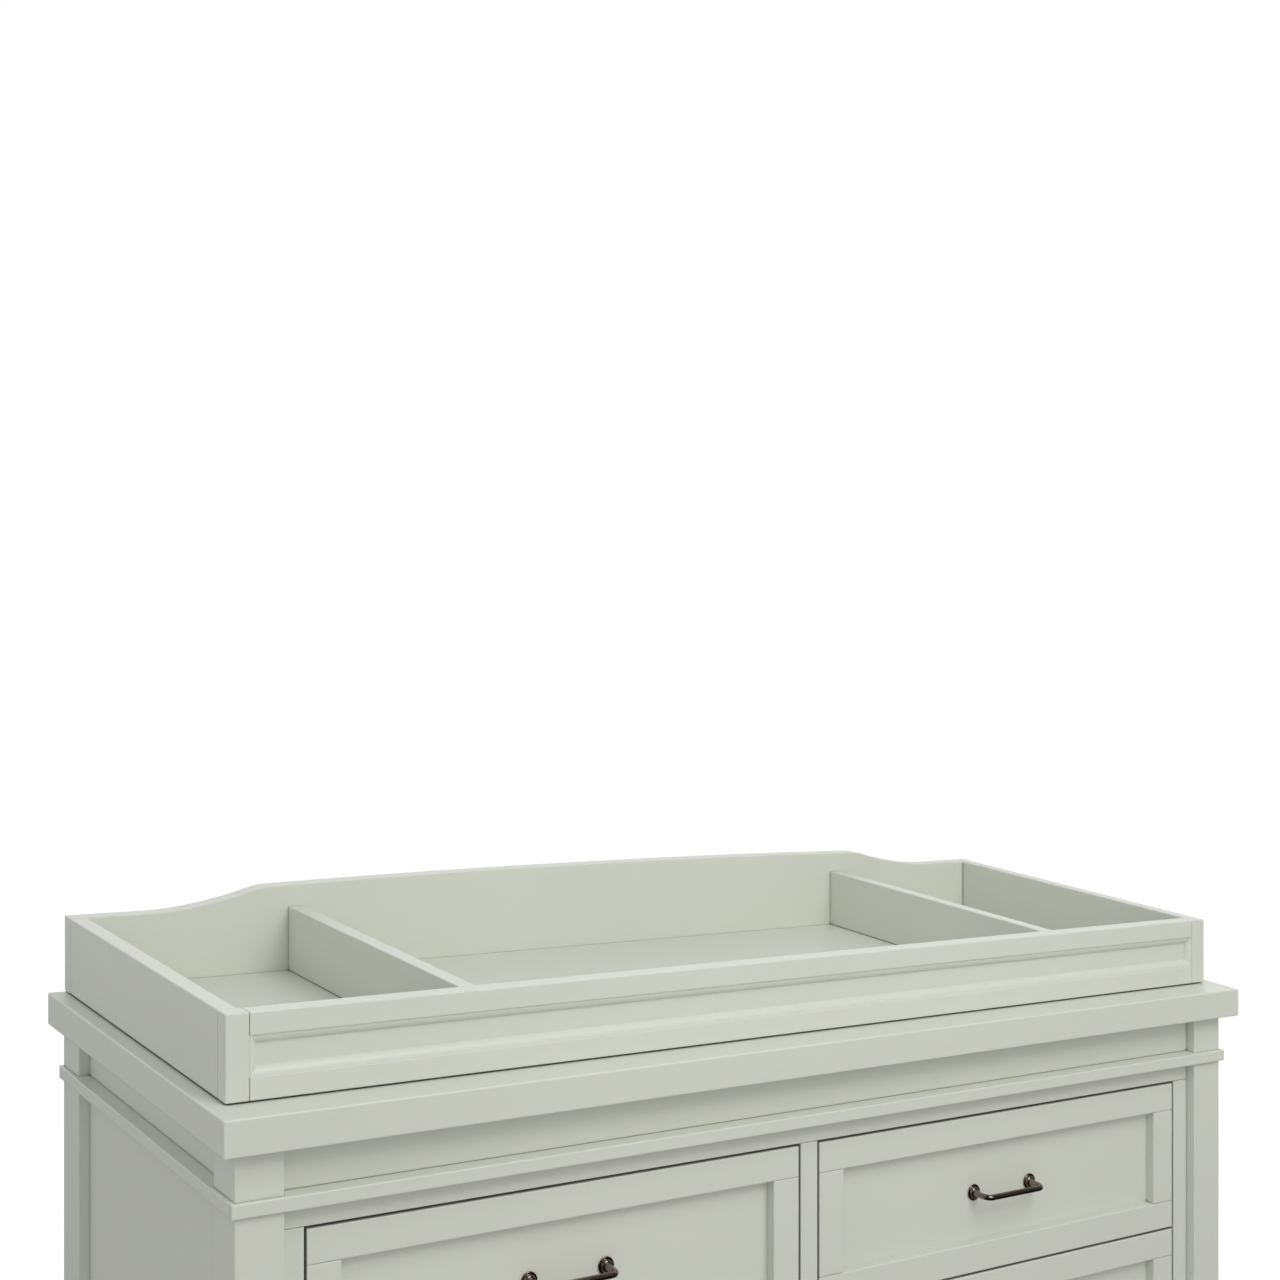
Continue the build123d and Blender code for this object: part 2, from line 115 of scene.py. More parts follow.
class TimberFinish(bpy.types.PropertyGroup):
    """Bare and lacquered wood inside the case and the drawers."""

    drawer_light: FloatVectorProperty(
        name="Drawer sapwood",
        description="Pale bands of the drawer boxes' wood",
        subtype="COLOR",
        size=3,
        min=0.0,
        max=1.0,
        default=(0.60, 0.44, 0.27),
    )
    drawer_dark: FloatVectorProperty(
        name="Drawer grain",
        description="Darker bands of the drawer boxes' wood",
        subtype="COLOR",
        size=3,
        min=0.0,
        max=1.0,
        default=(0.42, 0.27, 0.14),
    )
    case_light: FloatVectorProperty(
        name="Case sapwood",
        description="Pale bands of the bare boards inside the case",
        subtype="COLOR",
        size=3,
        min=0.0,
        max=1.0,
        default=(0.56, 0.46, 0.33),
    )
    case_dark: FloatVectorProperty(
        name="Case grain",
        description="Darker bands of the bare boards inside the case",
        subtype="COLOR",
        size=3,
        min=0.0,
        max=1.0,
        default=(0.38, 0.28, 0.18),
    )
    ring_spacing: FloatProperty(
        name="Ring spacing",
        description="Distance between the bands of the grain",
        subtype="DISTANCE",
        unit="LENGTH",
        default=0.012,
    )


class MetalFinish(bpy.types.PropertyGroup):
    """The pulls' dark bronze and the zinc on slides, brackets and screws."""

    bronze: FloatVectorProperty(
        name="Dark bronze",
        description="Oiled bronze of the pulls",
        subtype="COLOR",
        size=3,
        min=0.0,
        max=1.0,
        default=(0.23, 0.18, 0.16),
    )
    copper: FloatVectorProperty(
        name="Rubbed copper",
        description="Colour that shows where hands have rubbed the pulls",
        subtype="COLOR",
        size=3,
        min=0.0,
        max=1.0,
        default=(0.42, 0.23, 0.17),
    )
    zinc: FloatVectorProperty(
        name="Zinc",
        description="Zinc plate on slides, brackets and screws",
        subtype="COLOR",
        size=3,
        min=0.0,
        max=1.0,
        default=(0.58, 0.59, 0.60),
    )


class PullShape(bpy.types.PropertyGroup):
    """The arched bar pull and the rosettes under its ends."""

    bar: FloatProperty(
        name="Bar",
        description="Thickness of the bar",
        subtype="DISTANCE",
        unit="LENGTH",
        default=7.0 * MM,
    )
    centres: FloatProperty(
        name="Centres",
        description="Distance between the two screws",
        subtype="DISTANCE",
        unit="LENGTH",
        default=96.0 * MM,
    )
    reach: FloatProperty(
        name="Reach",
        description="From the drawer's panel to the middle of the bar",
        subtype="DISTANCE",
        unit="LENGTH",
        default=25.0 * MM,
    )
    corner: FloatProperty(
        name="Corner",
        description="Radius of the bar's two bends",
        subtype="DISTANCE",
        unit="LENGTH",
        default=9.0 * MM,
    )
    rosette: FloatProperty(
        name="Rosette",
        description="Width of the rosettes",
        subtype="DISTANCE",
        unit="LENGTH",
        default=20.0 * MM,
    )


class StageSettings(bpy.types.PropertyGroup):
    """Floor, lights and camera."""

    floor: FloatVectorProperty(
        name="Floor",
        description="Colour of the studio floor",
        subtype="COLOR",
        size=3,
        min=0.0,
        max=1.0,
        default=(0.86, 0.86, 0.86),
    )
    sky: FloatVectorProperty(
        name="Room light",
        description="Soft light that comes from all round",
        subtype="COLOR",
        size=3,
        min=0.0,
        soft_max=2.0,
        default=(0.530, 0.526, 0.524),
    )
    key: FloatProperty(
        name="Front light",
        description="Power of the large soft light in front",
        unit="POWER",
        default=23.0,
    )
    near: FloatProperty(
        name="Near light",
        description="Power of the small soft light close above the front",
        unit="POWER",
        default=19.0,
    )
    left: FloatProperty(
        name="Left light",
        description="Power of the soft light off the left end",
        unit="POWER",
        default=5.0,
    )
    focal_length: FloatProperty(
        name="Focal length",
        description="The camera's focal length on a 36 mm sensor",
        unit="CAMERA",
        default=54.35,
    )
    camera_place: FloatVectorProperty(
        name="Camera",
        description="Where the camera stands",
        subtype="XYZ",
        unit="LENGTH",
        size=3,
        default=(-1.4195, -1.9207, 1.4416),
    )
    camera_turn: FloatProperty(
        name="Camera turn",
        description="How far the level camera is turned to the right of straight ahead",
        subtype="ANGLE",
        unit="ROTATION",
        default=math.radians(34.855),
    )
    camera_drop: FloatProperty(
        name="Camera drop",
        description="How far the lens is lowered, as a share of the picture's width",
        default=0.0903,
    )
    camera_skew: FloatProperty(
        name="Camera skew",
        description="Fall of level lines to the right, with uprights kept upright",
        default=0.0647,
    )


def settings():
    return bpy.context.scene.changing_table


# ---------------------------------------------------------------- shader helpers
def new_material(name):
    """An empty node tree with a Principled shader, and the two to build on."""
    material = bpy.data.materials.new(name)
    material.use_nodes = True
    tree = material.node_tree
    return material, tree, tree.nodes["Principled BSDF"]


def add(tree, kind, inputs=(), **values):
    """A node with some of its properties and input sockets set."""
    node = tree.nodes.new(kind)
    for key, value in values.items():
        setattr(node, key, value)
    for socket, value in dict(inputs).items():
        node.inputs[socket].default_value = value
    return node


def object_point(tree, scale=(1.0, 1.0, 1.0)):
    """The surface point in the object's own space, stretched to suit a grain direction."""
    place = tree.nodes.new("ShaderNodeTexCoord")
    stretch = add(tree, "ShaderNodeMapping", {"Scale": scale})
    tree.links.new(place.outputs["Object"], stretch.inputs["Vector"])
    return stretch.outputs["Vector"]


def noise(tree, vector, scale, detail=3.0, roughness=0.5):
    node = add(
        tree,
        "ShaderNodeTexNoise",
        {"Scale": scale, "Detail": detail, "Roughness": roughness},
    )
    tree.links.new(vector, node.inputs["Vector"])
    return node.outputs["Fac"]


def ramp(tree, fac, stops):
    """A colour ramp over fac, with stops of (position, colour)."""
    node = tree.nodes.new("ShaderNodeValToRGB")
    while len(node.color_ramp.elements) < len(stops):
        node.color_ramp.elements.new(0.5)
    for element, (position, colour) in zip(node.color_ramp.elements, stops):
        element.position = position
        element.color = (*colour, 1.0) if len(colour) == 3 else colour
    tree.links.new(fac, node.inputs["Fac"])
    return node.outputs["Color"]


def blend(tree, fac, first, second):
    """Mix two colours; each may be a socket or a plain colour."""
    node = add(tree, "ShaderNodeMix", data_type="RGBA")
    for socket, value in (("Factor", fac), ("A", first), ("B", second)):
        slots = [s for s in node.inputs if s.name == socket and s.enabled]
        if isinstance(value, bpy.types.NodeSocket):
            tree.links.new(value, slots[0])
        elif socket == "Factor":
            slots[0].default_value = value
        else:
            slots[0].default_value = (*value, 1.0)
    return next(s for s in node.outputs if s.enabled)


def spread(tree, value, low, high):
    """Carry a 0..1 value over to low..high."""
    node = add(tree, "ShaderNodeMapRange", {"To Min": low, "To Max": high})
    tree.links.new(value, node.inputs["Value"])
    return node.outputs["Result"]


def bump(tree, height, distance, strength=1.0, normal=None):
    node = add(tree, "ShaderNodeBump", {"Strength": strength, "Distance": distance})
    tree.links.new(height, node.inputs["Height"])
    if normal is not None:
        tree.links.new(normal, node.inputs["Normal"])
    return node.outputs["Normal"]


def tint(colour, factor):
    return tuple(min(1.0, c * factor) for c in colour)


# ---------------------------------------------------------------- finishes
def grain_scale(axis, across, along):
    """Noise stretched so that streaks run along one axis."""
    return tuple(along if a == axis else across for a in "XYZ")


def satin_paint(name, axis):
    """Sprayed satin paint over wood: a faint drift in colour, spray ripple and a hint of grain, with
    painted highlights on the rounded edges and painted shade in the narrow joints and gaps.
    """
    finish = settings().paint
    material, tree, shader = new_material(name)
    base = tuple(finish.colour)
    streaks = noise(tree, object_point(tree, grain_scale(axis, 1.0, 0.05)), 90.0, 4.0, 0.6)
    drift = noise(tree, object_point(tree), 2.3, 2.0)
    dust = noise(tree, object_point(tree), 620.0, 2.0)
    tone = ramp(tree, drift, [(0.3, tint(base, 0.985)), (0.7, tint(base, 1.012))])
    tone = blend(tree, spread(tree, streaks, 0.0, 0.10), tone, tint(base, 0.93))

    # Painted highlight: the rounded edges are lightened towards near-white, standing in for the light they
    # catch.
    geometry = tree.nodes.new("ShaderNodeNewGeometry")
    rounded = add(tree, "ShaderNodeBevel", {"Radius": 2.4 * MM}, samples=6)
    facing = add(tree, "ShaderNodeVectorMath", operation="DOT_PRODUCT")
    tree.links.new(rounded.outputs["Normal"], facing.inputs[0])
    tree.links.new(geometry.outputs["True Normal"], facing.inputs[1])
    edge = add(
        tree,
        "ShaderNodeMapRange",
        {"From Min": 0.985, "From Max": 0.80, "To Min": 0.0, "To Max": finish.painted_edge_highlight},
    )
    tree.links.new(facing.outputs["Value"], edge.inputs["Value"])
    tone = blend(tree, edge.outputs["Result"], tone, (0.93, 0.94, 0.93))

    # Painted shade: ambient occlusion darkens the narrow joints and gaps towards near-black, standing in
    # for the shade that falls there.
    nook = add(tree, "ShaderNodeAmbientOcclusion", {"Distance": 7.0 * MM}, samples=6)
    crevice_shade = add(
        tree,
        "ShaderNodeMapRange",
        {"From Min": 0.10, "From Max": 0.50, "To Min": finish.crevice_shade, "To Max": 0.0},
    )
    tree.links.new(nook.outputs["AO"], crevice_shade.inputs["Value"])
    tone = blend(tree, crevice_shade.outputs["Result"], tone, (0.045, 0.045, 0.035))
    tree.links.new(tone, shader.inputs["Base Color"])

    tree.links.new(
        spread(tree, dust, finish.roughness - 0.05, finish.roughness + 0.05),
        shader.inputs["Roughness"],
    )
    ripple = noise(tree, object_point(tree), 260.0, 2.0)
    grain = bump(tree, streaks, finish.spray * 0.8, normal=rounded.outputs["Normal"])
    tree.links.new(bump(tree, ripple, finish.spray, normal=grain), shader.inputs["Normal"])
    shader.inputs["Specular IOR Level"].default_value = 0.42
    shader.inputs["Coat Weight"].default_value = 0.08
    shader.inputs["Coat Roughness"].default_value = 0.28
    return material


def timber(name, axis, light, dark, gloss=0.55):
    """Straight-grained wood: wavering bands, fine pores and a slight sheen along the grain."""
    spacing = settings().timber.ring_spacing
    material, tree, shader = new_material(name)
    sway = noise(tree, object_point(tree, grain_scale(axis, 1.0, 0.25)), 7.0, 2.0)
    rings = add(
        tree,
        "ShaderNodeTexWave",
        {"Scale": 0.5 / spacing / 6.0, "Distortion": 9.0, "Detail": 3.0, "Detail Scale": 1.4},
        wave_type="BANDS",
        bands_direction="DIAGONAL",
    )
    tree.links.new(object_point(tree, grain_scale(axis, 1.0, 0.06)), rings.inputs["Vector"])
    pores = noise(tree, object_point(tree, grain_scale(axis, 1.0, 0.03)), 700.0, 3.0, 0.7)
    bands = ramp(tree, rings.outputs["Fac"], [(0.1, light), (0.75, tint(dark, 1.15)), (1.0, dark)])
    tone = blend(tree, spread(tree, sway, 0.15, 0.75), bands, light)
    tone = blend(tree, spread(tree, pores, 0.0, 0.25), tone, tint(dark, 0.8))
    tree.links.new(tone, shader.inputs["Base Color"])
    tree.links.new(spread(tree, pores, gloss - 0.08, gloss + 0.12), shader.inputs["Roughness"])
    tree.links.new(bump(tree, pores, 0.00012), shader.inputs["Normal"])
    shader.inputs["Specular IOR Level"].default_value = 0.35
    return material


def rubbed_bronze():
    """Dark oiled bronze, polished, with copper where it is rubbed."""
    finish = settings().metal
    material, tree, shader = new_material("rubbed_bronze")
    cloud = noise(tree, object_point(tree), 140.0, 4.0, 0.6)
    worn = noise(tree, object_point(tree), 46.0, 2.0)
    tone = ramp(
        tree,
        worn,
        [
            (0.45, tuple(finish.bronze)),
            (0.62, tint(finish.bronze, 1.4)),
            (0.80, tuple(finish.copper)),
        ],
    )
    tone = blend(tree, spread(tree, cloud, 0.0, 0.35), tone, tint(finish.bronze, 0.6))
    tree.links.new(tone, shader.inputs["Base Color"])
    tree.links.new(spread(tree, cloud, 0.09, 0.19), shader.inputs["Roughness"])
    tree.links.new(bump(tree, cloud, 0.00001), shader.inputs["Normal"])
    shader.inputs["Metallic"].default_value = 1.0
    return material


def zinc_plate(name, axis, roughness=0.38):
    """Zinc-plated steel with drawing marks along one axis and a cloudy bloom."""
    finish = settings().metal
    material, tree, shader = new_material(name)
    marks = noise(tree, object_point(tree, grain_scale(axis, 1.0, 0.02)), 900.0, 2.0)
    bloom = noise(tree, object_point(tree), 60.0, 3.0)
    tone = ramp(tree, bloom, [(0.3, tint(finish.zinc, 0.82)), (0.7, tuple(finish.zinc))])
    tree.links.new(tone, shader.inputs["Base Color"])
    tree.links.new(spread(tree, marks, roughness - 0.08, roughness + 0.1), shader.inputs["Roughness"])
    tree.links.new(bump(tree, marks, 0.00002), shader.inputs["Normal"])
    shader.inputs["Metallic"].default_value = 1.0
    return material


def black_nylon():
    """Moulded nylon of the glides, scuffed pale here and there."""
    material, tree, shader = new_material("black_nylon")
    scuffs = noise(tree, object_point(tree), 420.0, 4.0, 0.7)
    tone = ramp(tree, scuffs, [(0.45, (0.022, 0.022, 0.024)), (0.75, (0.10, 0.10, 0.10))])
    tree.links.new(tone, shader.inputs["Base Color"])
    tree.links.new(spread(tree, scuffs, 0.45, 0.65), shader.inputs["Roughness"])
    tree.links.new(bump(tree, scuffs, 0.00005), shader.inputs["Normal"])
    return material


def pressed_felt():
    """Grey needle felt: matted fibres in every direction."""
    material, tree, shader = new_material("pressed_felt")
    fibres = noise(tree, object_point(tree), 1500.0, 5.0, 0.8)
    tone = ramp(tree, fibres, [(0.3, (0.06, 0.06, 0.058)), (0.7, (0.16, 0.16, 0.155))])
    tree.links.new(tone, shader.inputs["Base Color"])
    tree.links.new(bump(tree, fibres, 0.0002), shader.inputs["Normal"])
    shader.inputs["Roughness"].default_value = 0.95
    shader.inputs["Sheen Weight"].default_value = 0.4
    return material


def finish_nodes(names, material):
    """Give CAD nodes a material in place of the ones they had."""
    for name in names:
        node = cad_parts[name]
        node.data.materials.clear()
        node.data.materials.append(material)


# ---------------------------------------------------------------- mesh helpers
def mesh_object(name, bm, material):
    """A shaded object made from a bmesh."""
    mesh = bpy.data.meshes.new(name)
    bm.normal_update()
    bm.to_mesh(mesh)
    bm.free()
    mesh.materials.append(material)
    piece = bpy.data.objects.new(name, mesh)
    bpy.context.scene.collection.objects.link(piece)
    return piece


def smooth(piece, angle=40.0):
    """Smooth the faces, but keep edges sharper than the angle crisp."""
    piece.data.shade_smooth()
    piece.data.set_sharp_from_angle(angle=math.radians(angle))
    return piece


def turn(bm, profile, centre, outwards, steps=LATHE_STEPS):
    """Spin a profile of (radius, height) points about an axis along Y; heights run along outwards."""
    rings = []
    for radius, height in profile:
        middle = centre + Vector((0.0, outwards * height, 0.0))
        if radius < 1e-7:
            rings.append([bm.verts.new(middle)])
            continue
        angles = (2 * math.pi * i / steps for i in range(steps))
        spokes = [Vector((radius * math.cos(a), 0.0, radius * math.sin(a))) for a in angles]
        rings.append([bm.verts.new(middle + spoke) for spoke in spokes])
    for low, high in zip(rings, rings[1:]):
        for i in range(steps):
            j = (i + 1) % steps
            below = [low[i % len(low)], low[j % len(low)]]
            over = [high[j % len(high)], high[i % len(high)]]
            bm.faces.new(list(dict.fromkeys(below + over)))
    bmesh.ops.recalc_face_normals(bm, faces=bm.faces)


def arc(centre, radius, start, end, count):
    """Points of (radius, height) along an arc, with angles in degrees."""
    span = [math.radians(start + (end - start) * i / (count - 1)) for i in range(count)]
    return [(centre[0] + radius * math.cos(a), centre[1] + radius * math.sin(a)) for a in span]


# ---------------------------------------------------------------- operators
class PaintCase(bpy.types.Operator):
    """Paint the outside boards of the dresser"""

    bl_idname = "nursery.paint_case"
    bl_label = "Paint the case"

    def execute(self, context):
        level = satin_paint("satin_paint_level", "X")
        upright = satin_paint("satin_paint_upright", "Z")
        deep = satin_paint("satin_paint_deep", "Y")
        finish_nodes(
            ["top_panel", "frieze_front", "band_front", "face_top_rail", "face_bottom_rail"],
            level,
        )
        finish_nodes(["frieze_sides", "band_sides"], deep)
        posts = [f"post_{end}_{side}" for end in ("front", "back") for side in SIDES]
        panels = ["side_panel_left", "side_panel_right"]
        uprights = ["face_stile_left", "face_stile_right", "face_mullion"]
        finish_nodes(posts + panels + uprights, upright)
        return {"FINISHED"}


class FinishInside(bpy.types.Operator):
    """Finish the bare boards inside the case and the thin back board"""

    bl_idname = "nursery.finish_inside"
    bl_label = "Finish the inside"

    def execute(self, context):
        wood = settings().timber
        light, dark = tuple(wood.case_light), tuple(wood.case_dark)
        level = timber("bare_wood_level", "X", light, dark, 0.7)
        deep = timber("bare_wood_deep", "Y", light, dark, 0.7)
        finish_nodes(["bottom_panel", "back_rails"], level)
        finish_nodes(["center_partition", "slide_cleats"], deep)
        finish_nodes(["back_panel"], satin_paint("satin_paint_back", "X"))
        return {"FINISHED"}


class FinishDrawers(bpy.types.Operator):
    """Paint the drawer fronts and lacquer the boxes behind them"""

    bl_idname = "nursery.finish_drawers"
    bl_label = "Finish the drawers"

    def execute(self, context):
        wood = settings().timber
        paint = bpy.data.materials["satin_paint_level"]
        light, dark = tuple(wood.drawer_light), tuple(wood.drawer_dark)
        lacquered = timber("lacquered_wood", "Y", light, dark, 0.45)
        finish_nodes([f"{drawer}_front" for drawer in DRAWERS], paint)
        finish_nodes([f"{drawer}_box" for drawer in DRAWERS], lacquered)
        return {"FINISHED"}


class FinishSlides(bpy.types.Operator):
    """Zinc-plate the drawer slides"""

    bl_idname = "nursery.finish_slides"
    bl_label = "Finish the slides"

    def execute(self, context):
        zinc = zinc_plate("drawn_zinc", "Y")
        slides = ["cabinet_slides"] + [f"{drawer}_slides" for drawer in DRAWERS]
        finish_nodes(slides, zinc)
        return {"FINISHED"}


def rosette_profile(width):
    """A thin flange, a groove, a dome and a small collar, from the panel outwards."""
    edge = width / 2
    return [
        (0.0, 0.1 * MM),
        (edge - 0.4 * MM, 0.1 * MM),
        *arc((edge - 0.9 * MM, 1.2 * MM), 0.9 * MM, -60, 90, 8),
        (edge - 1.9 * MM, 2.0 * MM),
        *arc((edge - 2.3 * MM, 2.3 * MM), 0.45 * MM, -60, -150, 4),
        *arc((edge - 5.6 * MM, 2.2 * MM), 2.9 * MM, 12, 82, 10),
        (4.75 * MM, 5.0 * MM),
        *arc((4.4 * MM, 5.45 * MM), 0.55 * MM, -60, 90, 7),
        (3.4 * MM, 6.1 * MM),
        (0.0, 6.1 * MM),
    ]


def bar_path(left, right, panel_y, shape, bend_steps=14, run_steps=12):
    """Points along the bar from one rosette to the other: out, round, across, round and back."""
    out = panel_y - shape.reach
    corner = shape.corner
    foot = panel_y - 5.4 * MM
    z = left.z
    points = [Vector((left.x, foot + (out + corner - foot) * i / 4, z)) for i in range(5)]
    for i in range(1, bend_steps + 1):
        a = math.radians(90.0 * i / bend_steps)
        across, back = corner * (1 - math.cos(a)), corner * (1 - math.sin(a))
        points.append(Vector((left.x + across, out + back, z)))
    start, end = left.x + corner, right.x - corner
    points += [Vector((start + (end - start) * i / run_steps, out, z)) for i in range(1, run_steps)]
    middle = (left.x + right.x) / 2
    mirrored = [Vector((2 * middle - p.x, p.y, p.z)) for p in reversed(points[: 5 + bend_steps])]
    return points + mirrored


def tube(bm, points, radius_at, steps=32):
    """A round tube through points in one level plane; radius_at takes a point's number and their count."""
    rings = []
    for i, point in enumerate(points):
        before, after = points[max(i - 1, 0)], points[min(i + 1, len(points) - 1)]
        along = (after - before).normalized()
        across = Vector((along.y, -along.x, 0.0))
        radius = radius_at(i, len(points))
        angles = (2 * math.pi * k / steps for k in range(steps))
        spokes = [across * math.cos(a) + Vector((0, 0, math.sin(a))) for a in angles]
        rings.append([bm.verts.new(point + radius * spoke) for spoke in spokes])
    for low, high in zip(rings, rings[1:]):
        for k in range(steps):
            bm.faces.new([low[k], low[(k + 1) % steps], high[(k + 1) % steps], high[k]])
    bm.faces.new(rings[0])
    bm.faces.new(list(reversed(rings[-1])))
    bmesh.ops.recalc_face_normals(bm, faces=bm.faces)


def flared(bar):
    """The bar's radius along its path: it swells a little where it meets each rosette."""

    def radius_at(i, count):
        steps_from_end = min(i, count - 1 - i)
        return bar / 2 + (0.9 * MM, 0.45 * MM, 0.15 * MM, 0.0)[min(steps_from_end, 3)]

    return radius_at


class MakePulls(bpy.types.Operator):
    """Make each drawer's arched bar, turned rosettes and screws"""

    bl_idname = "nursery.make_pulls"
    bl_label = "Make the pulls"

    def execute(self, context):
        shape = settings().pull
        bronze = rubbed_bronze()
        zinc = zinc_plate("screw_zinc", "X", 0.3)
        head_height = 2.6 * MM
        screw = screw_mesh("pull_screw", 4.0 * MM, head_height, 1.8 * MM, 18.0 * MM, zinc)
        for drawer in DRAWERS:
            node = f"{drawer}_pull"
            low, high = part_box(node)
            middle_x, z = (low.x + high.x) / 2, (low.z + high.z) / 2
            panel_y = low.y + shape.reach + shape.bar / 2
            ends = [Vector((middle_x + s * shape.centres / 2, panel_y, z)) for s in (-1, 1)]
            bm = bmesh.new()
            tube(bm, bar_path(ends[0], ends[1], panel_y, shape), flared(shape.bar))
            bar = smooth(mesh_object(f"{drawer}_pull_bar", bm, bronze))
            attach(bar, drawer)
            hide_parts(node)
            for side, end in zip(SIDES, ends):
                bm = bmesh.new()
                turn(bm, rosette_profile(shape.rosette), end, -1)
                rosette = smooth(mesh_object(f"{drawer}_pull_rosette_{side}", bm, bronze), 55)
                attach(rosette, drawer)
                place = (end.x, high.y - head_height, z)
                head = place_screw(f"{drawer}_pull_screw_{side}", screw, place, 15)
                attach(head, drawer)
        bpy.data.objects.remove(screw)
        return {"FINISHED"}


def screw_mesh(name, head_radius, head_height, shank_radius, length, material):
    """A pan-head screw about an axis along Y: the head rises towards +Y, with a cross recess."""
    bm = bmesh.new()
    dome = [
        (head_radius * math.cos(a), head_height * (0.35 + 0.65 * math.sin(a)))
        for a in (math.radians(90.0 * i / 8) for i in range(9))
    ]
    tip = [
        (0.0, -length),
        (shank_radius * 0.55, -length),
        (shank_radius, -length + 1.4 * shank_radius),
    ]
    under = [(shank_radius, 0.0), (head_radius - 0.15 * MM, 0.0)]
    turn(bm, [*tip, *under, *dome[:-1], (0.0, head_height)], Vector((0, 0, 0)), 1, steps=40)
    screw = mesh_object(name, bm, material)
    cross = bmesh.new()
    for long_x, long_z in ((0.62, 0.15), (0.15, 0.62)):
        half = Vector((long_x * head_radius, head_height * 0.6, long_z * head_radius))
        made = bmesh.ops.create_cube(cross, size=2.0)
        for vert in made["verts"]:
            narrow = 0.55 if vert.co.y < 0 else 1.0
            depth = vert.co.y * half.y + head_height
            vert.co = Vector((vert.co.x * half.x * narrow, depth, vert.co.z * half.z))
    cutter = mesh_object(f"{name}_recess", cross, material)
    cut = screw.modifiers.new("recess", "BOOLEAN")
    cut.object = cutter
    cut.operation = "DIFFERENCE"
    cut.solver = "EXACT"
    cut.use_self = True
    depsgraph = bpy.context.evaluated_depsgraph_get()
    screw.data = bpy.data.meshes.new_from_object(screw.evaluated_get(depsgraph))
    screw.modifiers.clear()
    bpy.data.objects.remove(cutter)
    return smooth(screw, 35)


def place_screw(name, screw, place, turned):
    """A copy of a screw at a place, its recess turned by some degrees."""
    copy = bpy.data.objects.new(name, screw.data)
    bpy.context.scene.collection.objects.link(copy)
    copy.matrix_world = Matrix.Translation(Vector(place)) @ Matrix.Rotation(math.radians(turned), 4, "Y")
    return copy


class PaintTray(bpy.types.Operator):
    """Paint the boards of the changing tray"""

    bl_idname = "nursery.paint_tray"
    bl_label = "Paint the tray"

    def execute(self, context):
        level = bpy.data.materials["satin_paint_level"]
        deep = bpy.data.materials["satin_paint_deep"]
        upright = bpy.data.materials["satin_paint_upright"]
        finish_nodes(["tray_front", "tray_back"], level)
        across = [f"tray_{part}_{side}" for part in ("side", "divider") for side in SIDES]
        finish_nodes(across, deep)
        finish_nodes(["tray_posts"], upright)
        finish_nodes(["tray_floor"], satin_paint("satin_paint_floor", "X"))
        return {"FINISHED"}


class FitBrackets(bpy.types.Operator):
    """Plate the tray brackets and the wall anchor, and drive their screws"""

    bl_idname = "nursery.fit_brackets"
    bl_label = "Fit the brackets"

    def execute(self, context):
        zinc = zinc_plate("bracket_zinc", "Z")
        finish_nodes(["tray_brackets", "wall_anchor"], zinc)
        for node, body in (("tray_bracket_screws", "tray"), ("wall_anchor_screws", "cabinet")):
            low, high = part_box(node)
            radius = 4.0 * MM
            height = 1.9 * MM if body == "tray" else 2.4 * MM
            screw = screw_mesh(f"{node}_pattern", radius, height, 1.8 * MM, 1.6 * MM, zinc)
            xs = sorted({round(x, 5) for x in (low.x + radius, high.x - radius)})
            zs = sorted({round(z, 5) for z in (low.z + radius, high.z - radius)})
            for i, x in enumerate(xs):
                for k, z in enumerate(zs):
                    turned = 20 + 50 * i + 35 * k
                    head = place_screw(f"{node}_{i}_{k}", screw, (x, high.y - height, z), turned)
                    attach(head, body)
                    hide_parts(node)
            bpy.data.objects.remove(screw)
        return {"FINISHED"}


class FitFeet(bpy.types.Operator):
    """Finish the glides under the legs and the felt pads under the tray"""

    bl_idname = "nursery.fit_feet"
    bl_label = "Fit glides and pads"

    def execute(self, context):
        finish_nodes(["foot_glides"], black_nylon())
        finish_nodes(["tray_pads"], pressed_felt())
        return {"FINISHED"}


def area_light(name, power, size, place, target, colour):
    """A square soft light aimed at a point."""
    data = bpy.data.lights.new(name, "AREA")
    data.energy = power
    data.shape = "SQUARE"
    data.size = size
    data.color = colour
    light = bpy.data.objects.new(name, data)
    light.location = place
    light.rotation_euler = (Vector(target) - Vector(place)).to_track_quat("-Z", "Y").to_euler()
    bpy.context.scene.collection.objects.link(light)
    return light


